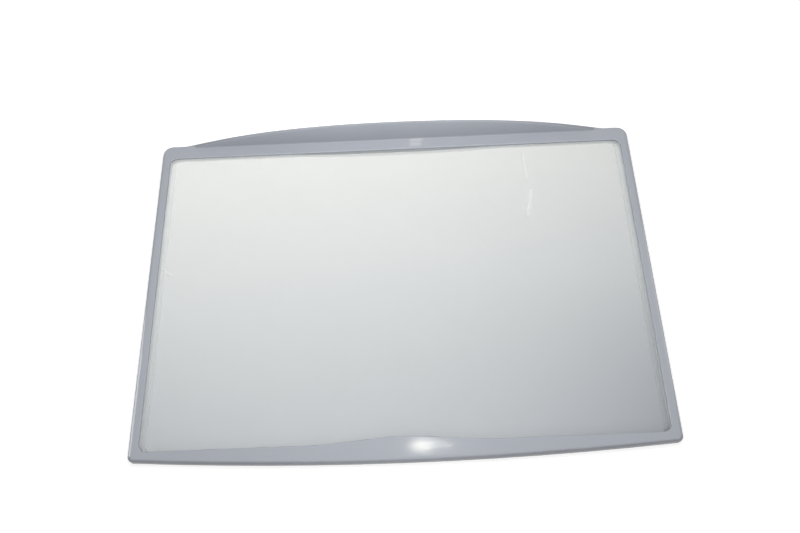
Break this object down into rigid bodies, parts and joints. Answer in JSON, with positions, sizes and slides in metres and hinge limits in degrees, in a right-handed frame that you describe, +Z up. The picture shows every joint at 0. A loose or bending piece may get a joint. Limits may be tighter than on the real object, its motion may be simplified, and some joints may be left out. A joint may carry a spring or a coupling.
{
  "type": "fridge glass shelf",
  "caption": "Flat glass shelf in a moulded plastic frame with a bowed, rounded front bar and an arched back stop; its side runners lie on the ledges of a fridge.",
  "frame": {"origin": "middle of the footprint, on the plane of the runners' undersides", "axes": "+X to the right across the fridge, +Y to its back wall, +Z up"},
  "size_m": [0.475, 0.333, 0.033],
  "materials": {
    "shelf_glass": "clear, polished, with a faint grey-green tint",
    "frame_plastic": "satin moulded lavender grey"
  },
  "bodies": {
    "root": {"glass_panel": "shelf_glass", "moulded_frame": "frame_plastic"}
  },
  "joints": []
}
